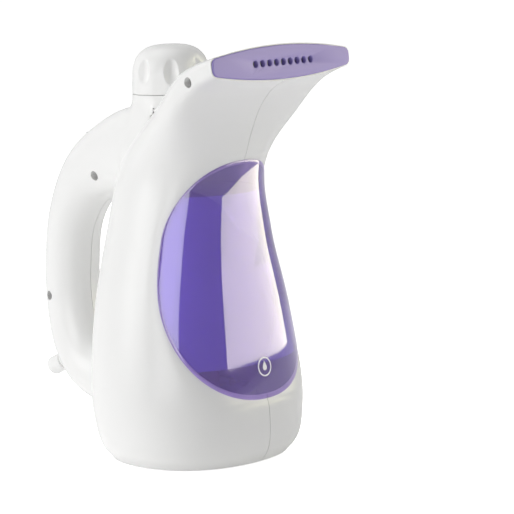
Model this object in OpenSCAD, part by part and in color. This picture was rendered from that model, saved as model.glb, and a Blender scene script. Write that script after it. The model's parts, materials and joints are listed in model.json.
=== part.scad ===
// Hand-held garment steamer. A hollow two-part housing with a loop handle carries
// a water tank behind a wrap-round window, a boiler in the foot, a screw filler
// cap on the shoulder and a fan-shaped steam head with a drilled steam plate.
// Frame: the origin is on the table under the middle of the body, +X is the way
// the steam goes, +Y is the appliance's left and +Z is up. Millimetres throughout.

/* [Body] */
// Wall thickness of the housing
wall = 2.4; // [2:0.1:3]
// Gap between the table and the lower edge of the housing
foot_gap = 1; // [0.6:0.1:2]
// Width across the foot
foot_w = 106; // [88:1:128]
// Reach of the foot in front of the origin
foot_front = 51; // [44:1:60]
// Reach of the foot behind the origin
foot_back = 47; // [42:1:54]
// Width across the belly
belly_w = 132; // [112:1:160]
// Reach of the belly in front of the origin
belly_front = 58; // [52:1:68]
// Reach of the belly behind the origin
belly_back = 56; // [50:1:58]
// Height of the belly, the widest level
belly_h = 45; // [38:1:54]
// Width across the neck
neck_w = 84; // [78:1:100]
// Reach of the neck in front of the origin
neck_front = 45.3; // [42:0.1:52]
// Reach of the neck behind the origin
neck_back = 36; // [33:1:40]
// Height of the neck, where the head starts to flare
neck_h = 176; // [160:1:215]

/* [Steam head] */
// Width of the head at the steam plate
head_w = 118.8; // [104:0.1:140]
// Thickness of the head at the steam plate
head_t = 21; // [19:0.1:25]
// Distance of the steam plate in front of the origin
head_reach = 77; // [72:0.5:92]
// Height of the steam plate's middle above the neck
head_rise = 61.4; // [56:0.2:70]
// Backward tilt of the steam plate
head_tilt = 6; // [0:1:10]
// Thickness of the steam plate
plate_t = 3; // [2:0.1:4]
// How far the steam plate stands proud of the head
plate_proud = 1; // [0.5:0.1:1.5]
// Width of the housing rim round the steam plate
plate_rim = 0.9; // [0.7:0.1:1.4]
// Number of steam holes
hole_count = 9; // [5:2:13]
// Diameter of a steam hole
hole_d = 4; // [3:0.1:5]
// Spacing of the steam holes
hole_pitch = 5.9; // [5.4:0.1:7.5]
// Length of the steam manifold behind the plate
manifold_w = 84; // [72:1:88]

/* [Handle] */
// Width of the grip, side to side
grip_w = 35; // [30:1:40]
// Depth of the grip, front to back
grip_d = 33; // [29:1:40]
// Distance of the grip's axis behind the origin
grip_reach = 104.5; // [98:0.5:124]
// Height of the lower arm's axis
arm_h = 38; // [36:1:44]
// Radius of the thumb scoop on the shoulder
scoop_r = 40; // [36:1:48]
// Depth of the thumb scoop
scoop_depth = 3.4; // [3:0.1:4]

/* [Window] */
// Gap between the window and the housing
window_gap = 0.15; // [0.1:0.05:0.3]
// Distance of the window's rear edge in front of the origin
window_back = 18.6; // [14:0.2:24]
// Height of the window's lower end
window_bottom = 39.6; // [36:0.2:44]

/* [Water tank] */
// Height of the tank's floor
tank_floor = 60; // [58:1:66]
// Wall thickness of the tank
tank_wall = 1.8; // [1.4:0.1:2.4]
// Gap between the tank and the housing
tank_gap = 0.9; // [0.6:0.1:1.4]
// Distance of the tank's flat back behind the origin
tank_back = 28; // [27.5:0.5:29]

/* [Filler] */
// Distance of the filler's axis behind the origin
filler_back = 12; // [11:0.5:13]
// Radius of the collar and of the cap
collar_r = 23.5; // [22:0.5:25]
// Height of the collar's top above the neck
collar_rise = 41.5; // [40:0.5:44]
// Outer radius of the filler tube
tube_r = 14.5; // [13.5:0.1:15]
// Height of the cap
cap_h = 29; // [27:0.5:34]
// Wall of the cap round its thread
cap_skirt = 6.2; // [5.6:0.1:6.6]
// Depth of the finger scallops in the cap
scallop_depth = 2.2; // [1.6:0.1:2.6]
// Number of finger scallops
scallop_count = 8; // [6:1:10]
// Rise of the thread for one turn
thread_pitch = 4; // [3:0.5:5]

/* [Boiler] */
// Outer radius of the boiler pan
boiler_r = 36; // [32:0.5:37]
// Height of the boiler pan's underside
boiler_z = 15; // [14:0.5:17]
// Height of the boiler pan
boiler_h = 19; // [16:0.5:20]
// Wall of the boiler pan
boiler_wall = 3.5; // [2.5:0.1:4]
// Thickness of the boiler lid
lid_t = 4; // [3:0.1:5]
// Radius of the heating element's tube
heater_r = 3.5; // [3:0.1:4]
// Outer radius of the steam hose
hose_r = 4.8; // [4.4:0.1:5.2]
// Wall of the steam hose
hose_wall = 1.2; // [1:0.1:1.3]

/* [Base, switch and fixings] */
// Thickness of the base plate
base_t = 3; // [2.4:0.1:4]
// Radius of a rubber foot
pad_r = 7; // [5:0.5:9]
// Length of the switch bezel
bezel_l = 34; // [30:1:38]
// Width of the switch bezel
bezel_w = 15; // [13:0.5:17]
// Length of the rocker
rocker_l = 17; // [14:0.5:18]
// Width of the rocker
rocker_w = 10; // [8:0.5:11]
// Radius of the cord gland outside the handle
gland_r = 5.8; // [5.5:0.1:6.4]
// Radius of the cord gland's bore
gland_bore_r = 3.4; // [2.6:0.1:3.6]
// Length of the gland outside the handle
gland_l = 12; // [9:0.5:14]
// Radius of a screw's shank
screw_r = 1.5; // [1.2:0.1:1.8]
// Radius of a screw's head
screw_head_r = 2.7; // [2.5:0.1:3]

/* [Hidden] */

// Colours
shell_colour = "#f1f0ee";
window_colour = "#6c5fa8";
tank_colour = "#8d80c4";
plate_colour = "#9b8ccb";
rubber_colour = "#3a3a3d";
steel_colour = "#b9bcc0";
alloy_colour = "#a9adb2";
silicone_colour = "#c9705a";
brass_colour = "#c8a552";
insulator_colour = "#e8e2d0";
rocker_colour = "#c4c5c8";
switch_colour = "#26262a";

// Clearances
slip = 0.3;          // between fixed pieces that sit side by side
seat = 0.1;          // under a piece that rests on another
run = 0.05;          // round a pin that turns
parting = 0.06;      // from the middle plane to each half of the housing
tiny = 0.01;

// Facets
body_sides = 36;
lining_sides = 24;
grip_sides = 20;
hose_sides = 12;
level_step = 1 / 3;
lining_step = 1 / 3;

// Body sections, from the foot to the steam plate. Each is the front point and the
// back point on the middle plane, then the half width, and then where along that
// chord the section is widest and how square its front and back corners are.
head_dir = [sin(head_tilt), -cos(head_tilt)];
head_h = neck_h + head_rise;
plain = [0.5, 2.2, 2.2, 0];
foot = [foot_front, foot_gap, -foot_back, foot_gap, foot_w / 2];
belly = [belly_front, belly_h, -belly_back, belly_h, belly_w / 2];
neck = [neck_front, neck_h - 1, -neck_back, neck_h + 2, neck_w / 2];
head = [
    head_reach + head_dir.x * head_t / 2, head_h + head_dir.y * head_t / 2,
    head_reach - head_dir.x * head_t / 2, head_h - head_dir.y * head_t / 2, head_w / 2
];
STATIONS = [
    concat(foot, plain),
    concat(blend(foot, belly, [0.86, 0.18, 0.56, 0.18, 0.54]), plain),
    concat(blend(foot, belly, [1.2, 0.48, 0.94, 0.48, 0.81]), plain),
    concat(belly, plain),
    concat(blend(belly, neck, [0.47, 0.35, 0.1, 0.35, 0.25]), plain),
    concat(blend(belly, neck, [0.98, 0.69, 0.4, 0.69, 0.71]), plain),
    concat(neck, plain),
    concat(blend(neck, head, [0.31, 0.57, 0.38, 0.55, 0.69]), [0.4, 2.3, 1.9, 0]),
    concat(blend(neck, head, [0.65, 0.86, 0.62, 0.85, 0.86]), [0.38, 2.4, 2, 0.35]),
    concat(head, [0.5, 2.4, 2.4, 1])
];
last_station = len(STATIONS) - 1;

// Handle stations along its axis: x, z, half depth, half width, squareness
grip_mid_h = mix(arm_h, neck_h, 0.5);
shoulder_w = 56;
GRIP = [
    [-4, neck_h + 11, 27, shoulder_w / 2, 3],
    [-22, neck_h + 9, 27, 25.5, 3],
    [-48, neck_h + 5, 25, 21.5, 2.6],
    [-80, neck_h - 9, 20, 18.5, 2.2],
    [6 - grip_reach, mix(arm_h, neck_h, 0.74), grip_d / 2 + 0.5, grip_w / 2, 2],
    [-grip_reach, grip_mid_h, grip_d / 2, grip_w / 2, 2],
    [0.5 - grip_reach, mix(arm_h, neck_h, 0.3), grip_d / 2, grip_w / 2, 2],
    [7 - grip_reach, arm_h + 18, grip_d / 2 + 0.5, grip_w / 2, 2],
    [24 - grip_reach, arm_h + 3, grip_d / 2 + 1, grip_w / 2, 2],
    [12 - belly_back, arm_h, grip_d / 2, grip_w / 2, 2]
];
last_grip = len(GRIP) - 1;

// Window edge seen from the side
window_top = neck_h + 4.3;
window_mid = mix(window_bottom, window_top, 0.64);
window_top_x = neck_front + 1.4;
window_bottom_x = belly_front + 0.6;
window_top_power = 2.4;
window_bottom_power = 2.1;

// Tank and filler
tank_top = neck_h - 16;
collar_top = neck_h + collar_rise;
tube_bore_r = tube_r - tank_wall;
tube_rise = 12;
tube_top = collar_top + tube_rise;
thread_depth = 1.1;
collar_bore_r = tube_r + thread_depth + 0.5;
collar_foot = collar_top - 13;
neck_flange_r = collar_bore_r + 0.5;
neck_flange_t = 1.8;
cap_gap = 0.4;
cap_room = 4.5;
plate_taper = 0.52;      // how much lower the plate's ends are than its middle
plate_corner = 0.055;    // corner radius, as a share of the plate's half width
cap_inner_r = collar_r - cap_skirt;
seal_t = 1.6;
liner_t = 1.6;
seal_z = tube_top + seat;
liner_z = seal_z + seal_t + seat;
cavity_top = liner_z + liner_t + seat;
feed_x = 12;
feed_r = 4;
feed_bore_r = 2.6;

// Boiler stack
lug_r = 5;
lug_t = 4;
lug_ring = boiler_r + 4;
gasket_t = 0.8;
rim_z = boiler_z + boiler_h;
lid_z = rim_z + gasket_t;
lid_top = lid_z + lid_t;
steam_port = [-26, 12];
head_port_y = 26;
head_port_drop = 1.5;
manifold_drop = 1;
port_r = hose_r - hose_wall - 0.4;
port_bore_r = port_r - 1.1;
port_l = 7;
heater_ring = boiler_r * 0.7;

// Base
base_z = foot_gap + 1;
base_top = base_z + base_t;
pad_sink = 1.2;
pad_x = foot_front - 25;
pad_y = foot_w / 2 - 26;
post_r = 4;
pad_back_x = 23 - foot_back;
PADS = [[pad_x, pad_y], [pad_x, -pad_y], [pad_back_x, pad_y], [pad_back_x, -pad_y]];
tab_x = 16;
tab_y = foot_w / 2 - 11.5;
TABS = [[tab_x, tab_y], [tab_x, -tab_y], [-tab_x, tab_y], [-tab_x, -tab_y]];
boss_r = 4;
boss_top = base_top + 12;
base_recess = 2;

// Housing screws: x, z, depth of the head's seat from the middle plane
SCREWS = [
    [head_reach - 20, head_h - 8.4, 9],
    [-62, neck_h - 9, 6],
    [-grip_reach - 4.5, mix(arm_h, neck_h, 0.37), 4]
];
screw_l = 13;
screw_head_h = 1.8;
screw_clear = 0.25;
far_post_l = 10;

// Switch, on an axis square to the shoulder
switch_x = -63;
switch_z = neck_h - 0.5;
switch_lean = -24;
shoulder_r = 23.2;
bezel_t = 2;
bezel_step = 2;
bezel_z = shoulder_r - scoop_depth - 1.6;
rocker_x = -3.5;
lens_x = 11.5;
lens_r = 2.6;
rocker_pin_r = 1.2;
pin_drop = 2.6;
switch_body_l = 25;
switch_body_h = 12;
switch_drop = 6.2;       // from the bezel's seat down to the switch's top

// Gland, on an axis that points back and down from the handle's lower bend
gland_x = 6 - grip_reach;
gland_z = arm_h + 15;
gland_lean = -116;
gland_start = grip_d / 2 + 2.4;
gland_waist_r = 4.6;

// ---------------------------------------------------------------- functions
function mix(a, b, t) = a + (b - a) * t;
function blend(a, b, t) = [for (i = [0:4]) mix(a[i], b[i], t[i])];
function spline(p0, p1, p2, p3, t) =
    (2 * p1 + (p2 - p0) * t + (2 * p0 - 5 * p1 + 4 * p2 - p3) * t * t
    + (3 * p1 - p0 - 3 * p2 + p3) * t * t * t) / 2;
function along(rows, t) =
    let (n = len(rows) - 1, i = min(floor(t), n - 1), first = rows[max(i - 1, 0)],
         last = rows[min(i + 2, n)])
    spline(first, rows[i], rows[i + 1], last, t - i);
function power(v, n) = sign(v) * pow(abs(v), 2 / n);

// Half height of the steam plate's outline at v along its half width, both as shares:
// a bulge that runs out into blunt ends with round corners
function blunt(v) =
    let (corner = plate_corner, near = max(abs(v) - 1 + corner, 0) / corner)
    1 - plate_taper * v * v - corner * (head_w / head_t) * (1 - sqrt(max(1 - near * near, 0)));

// One section of the body, drawn in by inset, as a ring of points
function section(s, inset, sides) =
    let (front = [s[0], s[1]], back = [s[2], s[3]],
         chord = (back - front) / norm(back - front),
         f = front + chord * inset, b = back - chord * inset, w = mix(f, b, s[5]))
    [for (i = [0:sides - 1])
        let (a = 360 * i / sides, ahead = cos(a) >= 0, n = ahead ? s[6] : s[7],
             v = power(sin(a), n), round_u = abs(power(cos(a), n)),
             blunt_u = min(blunt(v), round_u * 4),
             p = w + ((ahead ? f : b) - w) * mix(round_u, blunt_u, s[8]))
        [p.x, v * (s[4] - inset), p.y]];
function body_rings(inset, sides, step) =
    [for (t = [0:step:last_station + tiny])
        section(along(STATIONS, min(t, last_station)), inset, sides)];
function shifted(ring, by) = [for (p = ring) p + by];

// One section of the handle, square to its axis
function grip_ring(t, inset) =
    let (s = along(GRIP, t), ahead = along(GRIP, min(t + tiny, last_grip)),
         behind = along(GRIP, max(t - tiny, 0)),
         way = [ahead.x - behind.x, ahead.y - behind.y],
         out = [way.y, -way.x] / norm(way), n = s[4])
    [for (i = [0:grip_sides - 1])
        let (a = 360 * i / grip_sides, r = (s[2] - inset) * power(cos(a), n))
        [s.x + out.x * r, (s[3] - inset) * power(sin(a), n), s.y + out.y * r]];
function grip_rings(inset, step) =
    [for (t = [0:step:last_grip + tiny]) grip_ring(min(t, last_grip), inset)];

function window_edge(z) =
    z > window_mid
    ? mix(window_back, window_top_x,
          pow((z - window_mid) / (window_top - window_mid), window_top_power))
    : mix(window_back, window_bottom_x,
          pow((window_mid - z) / (window_mid - window_bottom), window_bottom_power));

function plate_outline(inset) =
    let (h = head_t / 2 - inset, w = head_w / 2 - inset, sides = 72)
    [for (i = [0:sides - 1])
        let (c = cos(360 * i / sides), v = power(sin(360 * i / sides), 2.4))
        [sign(c) * h * min(blunt(v), abs(power(c, 2.4)) * 4), w * v]];

// Side faces between neighbouring rings of m points; the last ring may join the first
function skin_faces(m, steps, rings) =
    [for (i = [0:steps - 1], k = [0:m - 1], half = [0, 1])
        let (next = (i + 1) % rings * m, k1 = (k + 1) % m)
        half == 0 ? [i * m + k, next + k, next + k1] : [i * m + k, next + k1, i * m + k1]];

// ------------------------------------------------------------ shared shapes
// A closed skin through a row of rings, each ring turning right-handed about the way
module loft(rings) {
    m = len(rings[0]);
    last = len(rings) - 1;
    polyhedron(
        points = [for (r = rings, p = r) p],
        faces = concat(
            [[for (k = [0:m - 1]) k], [for (k = [0:m - 1]) last * m + m - 1 - k]],
            skin_faces(m, last, last + 1)));
}

module at_head() {
    translate([head_reach, 0, head_h]) rotate([0, 90 - head_tilt, 0]) children();
}

module at_switch() {
    translate([switch_x, 0, switch_z]) rotate([0, switch_lean, 0]) children();
}

module at_gland() {
    translate([gland_x, 0, gland_z]) rotate([0, gland_lean, 0]) children();
}

// Side view of the window, pushed through the body; grow is negative to shrink it
module window_prism(grow) {
    levels = 36;
    bottom = window_bottom - grow;
    step = (window_top - window_bottom + 2 * grow) / levels;
    front_x = belly_front + 30;
    for (i = [0:levels - 1])
        hull()
            for (z = [bottom + i * step, bottom + (i + 1) * step]) {
                x = window_edge(min(max(z, window_bottom), window_top)) - grow;
                translate([x, -belly_w / 2 - 10, z]) cube([front_x - x, belly_w + 20, tiny]);
            }
}

module body_outer() {
    loft(body_rings(0, body_sides, level_step));
}

// The hollow of the body, open below and at the steam plate
module body_hollow(inset) {
    rings = body_rings(inset, lining_sides, lining_step);
    loft(concat([shifted(rings[0], [0, 0, -4])], rings,
                [shifted(rings[len(rings) - 1], [4, 0, 0])]));
}

// Outer form and hollow of the whole housing
module housing_solid() {
    body_outer();
    loft(grip_rings(0, level_step));
}

module housing_hollow() {
    body_hollow(wall);
    loft(grip_rings(wall, lining_step));
    translate([-filler_back, 0, collar_foot - 2])
        cylinder(r = collar_r + slip / 2, h = collar_rise, $fn = 64);
}

module switch_hole() {
    at_switch() {
        translate([0, 0, shoulder_r - scoop_depth + scoop_r]) sphere(r = scoop_r, $fn = 64);
        translate([0, 0, bezel_z - 8])
            slot_block(bezel_l - bezel_step + slip, bezel_w - bezel_step + slip, 30);
        translate([0, 0, bezel_z]) slot_block(bezel_l + slip, bezel_w + slip, 20);
    }
}

module slot_block(l, w, h) {
    linear_extrude(height = h)
        polygon(concat(
            [for (a = [-90:15:90]) [l / 2 - w / 2 + w / 2 * cos(a), w / 2 * sin(a)]],
            [for (a = [90:15:270]) [-l / 2 + w / 2 + w / 2 * cos(a), w / 2 * sin(a)]]));
}

module gland_hole() {
    at_gland() {
        cylinder(r = gland_waist_r + slip / 2, h = 40, $fn = 32);
        translate([0, 0, gland_start]) cylinder(r = gland_r + slip, h = 20, $fn = 32);
    }
}

module screw_place(s) {
    translate([s[0], -s[2], s[1]]) rotate([90, 0, 0]) children();
}

// Openings shared by both halves of the housing
module housing_cuts() {
    window_prism(window_gap);
    switch_hole();
    gland_hole();
    at_head()
        translate([0, 0, plate_proud - plate_t - 1])
            linear_extrude(height = plate_t + 10) polygon(plate_outline(plate_rim - 0.15));
    translate([-filler_back, 0, collar_top])
        cylinder(r = collar_r + cap_room, h = cap_h + 20, $fn = 64);
    for (p = TABS) {
        translate([p.x, p.y, base_z - 3]) cylinder(r = screw_r + screw_clear, h = 16, $fn = 24);
    }
}

// Screw posts, inside the hollow. The far post in the head stops short on a rib,
// so that the steam hose can pass beside it.
module screw_posts(side) {
    for (i = [0:len(SCREWS) - 1])
        translate([SCREWS[i][0], 0, SCREWS[i][1]])
            rotate([90 * side, 0, 0])
                cylinder(r = post_r + 1, h = i == 0 && side < 0 ? far_post_l : 100, $fn = 32);
    if (side < 0)
        translate([SCREWS[0][0] - 1, 0, SCREWS[0][1] - 40]) cube([2, far_post_l, 80]);
}

// Bosses that take the base screws
module base_bosses() {
    for (p = TABS)
        translate([p.x, p.y, base_top + slip])
            cylinder(r = boss_r, h = boss_top - base_top, $fn = 32);
    for (p = TABS)
        translate([p.x - 1, p.y > 0 ? p.y : p.y - 14, base_top + slip])
            cube([2, 14, boss_top - base_top]);
}

// One half of the housing: side is 1 for the half at -Y and -1 for the half at +Y
module housing_half(side) {
    difference() {
        intersection() {
            union() {
                difference() {
                    housing_solid();
                    housing_hollow();
                }
                screw_posts(side);
                base_bosses();
            }
            housing_solid();
            translate([-200, side > 0 ? -100 - parting : parting, 0]) cube([400, 100, 400]);
        }
        housing_cuts();
        for (s = SCREWS)
            screw_place(s) {
                translate([0, 0, -20]) cylinder(r = screw_r + screw_clear, h = 30, $fn = 24);
                cylinder(r = screw_head_r + slip, h = 80, $fn = 32);
            }
    }
}

// ------------------------------------------------------------------- housing
module housing_right() {
    color(shell_colour) housing_half(1);
}

module housing_left() {
    color(shell_colour) housing_half(-1);
}

module window_cover() {
    color(window_colour)
        intersection() {
            difference() {
                body_outer();
                body_hollow(wall);
            }
            window_prism(-window_gap);
        }
}

// -------------------------------------------------------------------- water
module tank_block(inset) {
    intersection() {
        loft(body_rings(wall + tank_gap + inset, lining_sides, lining_step));
        translate([inset - tank_back, -100, tank_floor + inset])
            cube([200, 200, tank_top - tank_floor - 2 * inset]);
    }
}

module filler_thread() {
    turns = 1.5;
    steps = 36;
    z0 = collar_top + 2.5;
    translate([-filler_back, 0, 0])
        for (i = [0:steps - 1])
            hull()
                for (k = [i, i + 1])
                    rotate([0, 0, 360 * turns * k / steps])
                        translate([tube_r - 0.4, 0, z0 + turns * thread_pitch * k / steps])
                            rotate([90, 0, 0]) cylinder(r = thread_depth + 0.4, h = 0.1, $fn = 4);
}

module water_tank() {
    color(tank_colour)
        difference() {
            union() {
                tank_block(0);
                translate([feed_x, 0, tank_floor - 8]) cylinder(r = feed_r, h = 9, $fn = 24);
            }
            tank_block(tank_wall);
            translate([-filler_back, 0, tank_top - 10]) cylinder(r = tube_bore_r, h = 20, $fn = 48);
            translate([feed_x, 0, tank_floor - 20]) cylinder(r = feed_bore_r, h = 30, $fn = 24);
        }
}

// Threaded neck welded onto the tank's roof; its upper flange carries the collar
module filler_neck() {
    foot = tank_top + seat;
    color(tank_colour)
        difference() {
            union() {
                translate([-filler_back, 0, foot]) cylinder(r = tube_r, h = tube_top - foot, $fn = 64);
                for (z = [foot, collar_foot - seat - neck_flange_t])
                    translate([-filler_back, 0, z])
                        cylinder(r = neck_flange_r, h = neck_flange_t, $fn = 64);
                filler_thread();
            }
            translate([-filler_back, 0, foot - 5])
                cylinder(r = tube_bore_r, h = tube_top - foot + 10, $fn = 48);
        }
}

// White ring round the neck, held in the round hole of the two halves
module filler_collar() {
    color(shell_colour)
        translate([-filler_back, 0, collar_foot])
            difference() {
                cylinder(r = collar_r, h = collar_top - collar_foot, $fn = 64);
                translate([0, 0, -1])
                    cylinder(r = collar_bore_r, h = collar_top - collar_foot + 2, $fn = 64);
            }
}

module feed_tube() {
    color(silicone_colour)
        translate([feed_x, 0, lid_top + seat])
            difference() {
                cylinder(r = feed_r + 1.8, h = tank_floor - lid_top - 2 * seat, $fn = 32);
                translate([0, 0, -1])
                    cylinder(r = feed_r + run, h = tank_floor - lid_top + 2, $fn = 32);
            }
}

module cap_seal() {
    color(rubber_colour)
        translate([-filler_back, 0, seal_z])
            difference() {
                cylinder(r = tube_r + 0.8, h = seal_t, $fn = 64);
                translate([0, 0, -1]) cylinder(r = tube_bore_r - 1.5, h = seal_t + 2, $fn = 48);
            }
}

module cap_liner() {
    color(insulator_colour)
        translate([-filler_back, 0, liner_z])
            cylinder(r = cap_inner_r - cap_gap, h = liner_t, $fn = 64);
}

// A spindle that carves one finger scallop
module scallop() {
    tall = 7.2;
    wide = 4.6;
    arc_r = (tall * tall + wide * wide) / (2 * wide);
    rotate_extrude($fn = 40)
        intersection() {
            translate([wide - arc_r, 0]) circle(r = arc_r, $fn = 96);
            translate([0, -tall]) square([wide, 2 * tall]);
        }
}

module filler_cap() {
    dome_h = 17;
    skirt_h = cap_h - dome_h;
    arc_steps = 12;
    dome = [for (i = [0:arc_steps])
        [collar_r * pow(cos(90 * i / arc_steps), 0.62),
         skirt_h + dome_h * pow(sin(90 * i / arc_steps), 1.1)]];
    color(shell_colour)
        translate([-filler_back, 0, collar_top + 0.5])
            difference() {
                rotate_extrude($fn = 72)
                    polygon(concat([[0, 0], [collar_r - 0.4, 0], [collar_r, 0.4]], dome));
                translate([0, 0, -1])
                    cylinder(r = cap_inner_r, h = cavity_top - collar_top + 0.5, $fn = 64);
                for (i = [0:scallop_count - 1])
                    rotate([0, 0, -45 + 360 * i / scallop_count])
                        translate([collar_r + 4.6 - scallop_depth, 0, skirt_h + 1.6])
                            rotate([0, -7, 0]) scallop();
            }
}

// --------------------------------------------------------------- steam head
module steam_plate() {
    color(plate_colour)
        at_head()
            difference() {
                translate([0, 0, plate_proud - plate_t])
                    linear_extrude(height = plate_t) polygon(plate_outline(plate_rim));
                for (i = [0:hole_count - 1])
                    translate([0, (i - (hole_count - 1) / 2) * hole_pitch, -plate_t - 1])
                        cylinder(d = hole_d, h = plate_t + 5, $fn = 32);
            }
}

module plate_gasket() {
    back = plate_proud - plate_t - 1;
    color(silicone_colour)
        at_head()
            translate([0, 0, back + seat / 2])
                difference() {
                    linear_extrude(height = 1 - seat) polygon(plate_outline(plate_rim + 0.3));
                    translate([0, 0, -1])
                        rotate([0, 0, 90]) slot_block(manifold_w - 12, 8, 3);
                }
}

module steam_manifold() {
    front = plate_proud - plate_t - 1 - seat;
    depth = 12;
    width = head_t - 2 * wall - 5.8;
    color(alloy_colour)
        at_head()
            translate([manifold_drop, 0, 0]) difference() {
                union() {
                    translate([0, 0, front - depth])
                        rotate([0, 0, 90]) slot_block(manifold_w, width, depth);
                    translate([head_port_drop, head_port_y, front - depth - port_l])
                        cylinder(r = port_r, h = port_l + 1, $fn = 32);
                }
                translate([0, 0, front - depth + 2])
                    rotate([0, 0, 90]) slot_block(manifold_w - 5, width - 5, depth);
                translate([head_port_drop, head_port_y, front - depth - port_l - 1])
                    cylinder(r = port_bore_r, h = port_l + 10, $fn = 32);
            }
}

// The hose goes up behind the tank, round the filler tube and into the manifold
hose_x = -(tank_back + hose_r + 1.2);
head_axis = [cos(head_tilt), 0, sin(head_tilt)];
hose_end = [head_reach, head_port_y, head_h]
    + [head_dir.x, 0, head_dir.y] * (manifold_drop + head_port_drop)
    + head_axis * (plate_proud - plate_t - 14);
HOSE = [
    [steam_port.x, steam_port.y, lid_top + 0.5],
    [steam_port.x, steam_port.y, lid_top + 8],
    [hose_x, 9, tank_floor - 3],
    [hose_x, 6, mix(tank_floor, tank_top, 0.35)],
    [hose_x, 6, mix(tank_floor, tank_top, 0.7)],
    [hose_x, 9, tank_top - 2],
    [-24.8, 16.6, tank_top + 15],
    [-10, shoulder_w / 2 - wall - hose_r - slip, neck_h + 15],
    [12, shoulder_w / 2 - wall - hose_r + 3, neck_h + 31],
    [30, head_port_y, neck_h + 43],
    hose_end - head_axis * 14,
    hose_end - head_axis * 7,
    hose_end
];
function hose_ring(t, r) =
    let (last = len(HOSE) - 1, p = along(HOSE, t),
         way = along(HOSE, min(t + 0.02, last)) - along(HOSE, max(t - 0.02, 0)),
         w = way / norm(way), side = cross(w, [0.3, 1, 0]), u = side / norm(side),
         v = cross(w, u))
    [for (i = [0:hose_sides - 1])
        let (a = 360 * i / hose_sides) p + r * (u * cos(a) + v * sin(a))];

// The hose's wall is one closed skin: up the outside and back down the bore
module steam_hose() {
    last = len(HOSE) - 1;
    steps = [for (t = [0:0.5:last + tiny]) t];
    count = len(steps);
    rings = concat([for (t = steps) hose_ring(t, hose_r)],
                   [for (i = [count - 1:-1:0]) hose_ring(steps[i], hose_r - hose_wall)]);
    color(silicone_colour)
        polyhedron(points = [for (r = rings, p = r) p],
                   faces = skin_faces(hose_sides, len(rings), len(rings)));
}

// -------------------------------------------------------------------- boiler
module lug_places() {
    for (i = [0:3]) rotate([0, 0, 45 + 90 * i]) translate([lug_ring, 0, 0]) children();
}

module boiler_pan() {
    color(alloy_colour)
        difference() {
            union() {
                translate([0, 0, boiler_z]) cylinder(r = boiler_r, h = boiler_h, $fn = 72);
                lug_places() translate([0, 0, boiler_z]) cylinder(r = lug_r, h = lug_t, $fn = 32);
                for (i = [0:3])
                    rotate([0, 0, 45 + 90 * i])
                        translate([boiler_r - 3, -3, boiler_z]) cube([7, 6, lug_t]);
            }
            translate([0, 0, boiler_z + heater_r + 3])
                cylinder(r = boiler_r - boiler_wall, h = boiler_h, $fn = 72);
            lug_places()
                translate([0, 0, boiler_z - 1])
                    cylinder(r = screw_r + screw_clear, h = lug_t + 2, $fn = 24);
            translate([0, 0, boiler_z])
                rotate_extrude($fn = 72) translate([heater_ring, 0]) circle(r = heater_r + 0.1, $fn = 32);
        }
}

module heating_element() {
    gap_angle = 40;
    color(steel_colour) {
        translate([0, 0, boiler_z])
            rotate([0, 0, gap_angle / 2])
                rotate_extrude(angle = 360 - gap_angle, $fn = 72)
                    translate([heater_ring, 0]) circle(r = heater_r, $fn = 32);
        for (side = [-1, 1])
            rotate([0, 0, side * gap_angle / 2])
                translate([heater_ring, 0, boiler_z - 7]) cylinder(r = 2, h = 7, $fn = 24);
    }
}

module boiler_gasket() {
    color(silicone_colour)
        translate([0, 0, rim_z + seat / 2])
            difference() {
                cylinder(r = boiler_r, h = gasket_t - seat, $fn = 72);
                translate([0, 0, -1]) cylinder(r = boiler_r - boiler_wall, h = 3, $fn = 72);
            }
}

module boiler_lid() {
    color(alloy_colour)
        difference() {
            union() {
                translate([0, 0, lid_z]) cylinder(r = boiler_r, h = lid_t, $fn = 72);
                translate([steam_port.x, steam_port.y, lid_z])
                    cylinder(r = port_r, h = lid_t + port_l - 1, $fn = 32);
                translate([feed_x, 0, lid_z]) cylinder(r = feed_r, h = lid_t + 7, $fn = 32);
            }
            translate([steam_port.x, steam_port.y, lid_z - 1])
                cylinder(r = port_bore_r, h = 30, $fn = 32);
            translate([feed_x, 0, lid_z - 1]) cylinder(r = feed_bore_r, h = 30, $fn = 32);
        }
}

module thermostat() {
    color(insulator_colour)
        translate([4, -20, lid_top + seat]) {
            cylinder(r = 8, h = 7, $fn = 48);
            translate([0, 0, 7]) cylinder(r = 5, h = 2, $fn = 48);
            for (side = [-1, 1])
                translate([side * 6 - 0.4, -3, 0]) cube([0.8, 6, 13]);
        }
}

module thermal_fuse() {
    color(brass_colour)
        translate([4, 20, lid_top + seat]) {
            translate([-8, 0, 2.6]) rotate([0, 90, 0]) cylinder(r = 2.5, h = 16, $fn = 32);
            translate([-11, 0, 2.6]) rotate([0, 90, 0]) cylinder(r = 0.7, h = 22, $fn = 24);
            translate([-2, -4.5, 0]) cube([4, 9, 1]);
        }
}

// ----------------------------------------------------------- base and screws
module base_plate() {
    outline = [for (p = section(along(STATIONS, 0.15), wall + slip + 0.5, 48)) [p.x, p.y]];
    color(shell_colour)
        difference() {
            union() {
                translate([0, 0, base_z]) linear_extrude(height = base_t) polygon(outline);
                lug_places()
                    translate([0, 0, base_top - 1])
                        cylinder(r = post_r, h = boiler_z - base_top + 1 - seat, $fn = 32);
            }
            for (p = PADS)
                translate([p.x, p.y, base_z - 1]) cylinder(r = pad_r + slip, h = 1 + pad_sink, $fn = 40);
            for (p = TABS) {
                translate([p.x, p.y, base_z - 1])
                    cylinder(r = screw_r + screw_clear, h = base_t + 2, $fn = 24);
                translate([p.x, p.y, base_z - 1])
                    cylinder(r = screw_head_r + slip, h = 1 + base_recess, $fn = 32);
            }
            lug_places()
                translate([0, 0, base_top])
                    cylinder(r = screw_r + 0.1, h = boiler_z, $fn = 24);
        }
}

module foot_pad(i) {
    color(rubber_colour)
        translate([PADS[i].x, PADS[i].y, 0]) {
            cylinder(r = pad_r, h = base_z + pad_sink - seat, $fn = 48);
        }
}

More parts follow.
